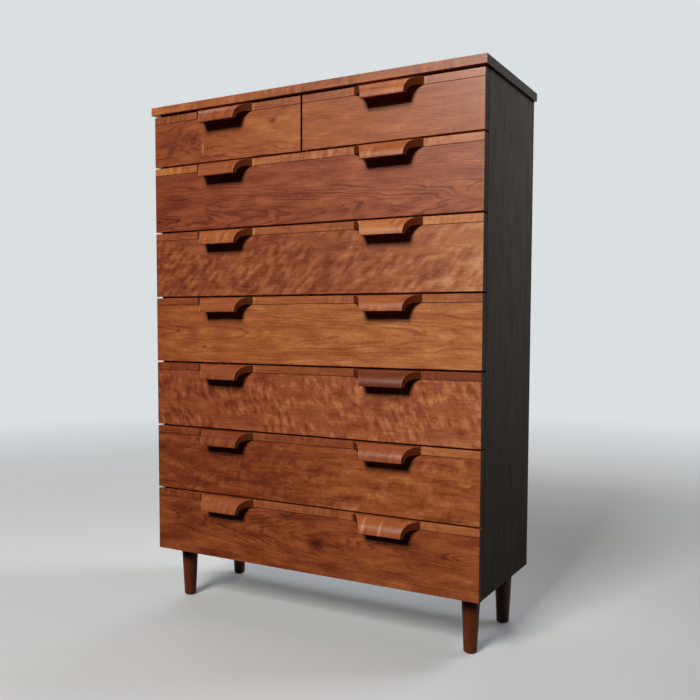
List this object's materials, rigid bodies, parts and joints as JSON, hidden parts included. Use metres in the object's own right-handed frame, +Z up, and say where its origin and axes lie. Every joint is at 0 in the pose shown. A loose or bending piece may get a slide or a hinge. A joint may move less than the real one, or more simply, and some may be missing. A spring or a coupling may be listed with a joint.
{
  "type": "tallboy chest of drawers",
  "caption": "Tall narrow chest with short drawers over wide drawers, hood pulls sculpted from the drawers' top edges, and round tapered legs.",
  "frame": {"origin": "on the floor under the centre of the whole piece, pulls included", "axes": "+Z up, +X to the right as seen from the front, +Y from the drawer fronts to the back"},
  "size_m": [1.013, 0.4132, 1.4324],
  "materials": {
    "cherry": "satin oiled cherry, figured",
    "dark_side_wood": "satin dark stained hardwood",
    "drawer_wood": "clear sealed pale hardwood",
    "plywood": "sanded birch plywood",
    "runner_wood": "waxed beech",
    "nylon": "black nylon",
    "felt": "brown felt"
  },
  "bodies": {
    "carcass": {"top_panel": "cherry", "side_right": "dark_side_wood", "side_left": "dark_side_wood", "rear_stiles": "dark_side_wood", "base_panel": "drawer_wood", "back_panel": "plywood", "shelf": "drawer_wood", "partition": "drawer_wood", "drawer_rails": "drawer_wood", "top_rails": "drawer_wood", "side_runners": "runner_wood", "centre_runners": "runner_wood", "front_legs": "cherry", "rear_legs": "cherry", "foot_glides": "nylon", "bumpers": "felt"},
    "short_drawer_left": {"short_drawer_left_front": "cherry", "short_drawer_left_edge_strip": "cherry", "short_drawer_left_pull": "cherry", "short_drawer_left_box": "drawer_wood", "short_drawer_left_bottom": "plywood"},
    "short_drawer_right": {"short_drawer_right_front": "cherry", "short_drawer_right_edge_strip": "cherry", "short_drawer_right_pull": "cherry", "short_drawer_right_box": "drawer_wood", "short_drawer_right_bottom": "plywood"},
    "wide_drawer_1": {"wide_drawer_1_front": "cherry", "wide_drawer_1_edge_strip": "cherry", "wide_drawer_1_pulls": "cherry", "wide_drawer_1_box": "drawer_wood", "wide_drawer_1_bottom": "plywood"},
    "wide_drawer_2": {"wide_drawer_2_front": "cherry", "wide_drawer_2_edge_strip": "cherry", "wide_drawer_2_pulls": "cherry", "wide_drawer_2_box": "drawer_wood", "wide_drawer_2_bottom": "plywood"},
    "wide_drawer_3": {"wide_drawer_3_front": "cherry", "wide_drawer_3_edge_strip": "cherry", "wide_drawer_3_pulls": "cherry", "wide_drawer_3_box": "drawer_wood", "wide_drawer_3_bottom": "plywood"},
    "wide_drawer_4": {"wide_drawer_4_front": "cherry", "wide_drawer_4_edge_strip": "cherry", "wide_drawer_4_pulls": "cherry", "wide_drawer_4_box": "drawer_wood", "wide_drawer_4_bottom": "plywood"},
    "wide_drawer_5": {"wide_drawer_5_front": "cherry", "wide_drawer_5_edge_strip": "cherry", "wide_drawer_5_pulls": "cherry", "wide_drawer_5_box": "drawer_wood", "wide_drawer_5_bottom": "plywood"},
    "wide_drawer_6": {"wide_drawer_6_front": "cherry", "wide_drawer_6_edge_strip": "cherry", "wide_drawer_6_pulls": "cherry", "wide_drawer_6_box": "drawer_wood", "wide_drawer_6_bottom": "plywood"}
  },
  "joints": [
    {"name": "short_drawer_left_slide", "type": "slide", "parent": "carcass", "child": "short_drawer_left", "axis": [0, -1, 0], "range_m": [0, 0.23]},
    {"name": "short_drawer_right_slide", "type": "slide", "parent": "carcass", "child": "short_drawer_right", "axis": [0, -1, 0], "range_m": [0, 0.23]},
    {"name": "wide_drawer_1_slide", "type": "slide", "parent": "carcass", "child": "wide_drawer_1", "axis": [0, -1, 0], "range_m": [0, 0.23]},
    {"name": "wide_drawer_2_slide", "type": "slide", "parent": "carcass", "child": "wide_drawer_2", "axis": [0, -1, 0], "range_m": [0, 0.23]},
    {"name": "wide_drawer_3_slide", "type": "slide", "parent": "carcass", "child": "wide_drawer_3", "axis": [0, -1, 0], "range_m": [0, 0.23]},
    {"name": "wide_drawer_4_slide", "type": "slide", "parent": "carcass", "child": "wide_drawer_4", "axis": [0, -1, 0], "range_m": [0, 0.23]},
    {"name": "wide_drawer_5_slide", "type": "slide", "parent": "carcass", "child": "wide_drawer_5", "axis": [0, -1, 0], "range_m": [0, 0.23]},
    {"name": "wide_drawer_6_slide", "type": "slide", "parent": "carcass", "child": "wide_drawer_6", "axis": [0, -1, 0], "range_m": [0, 0.23]}
  ]
}
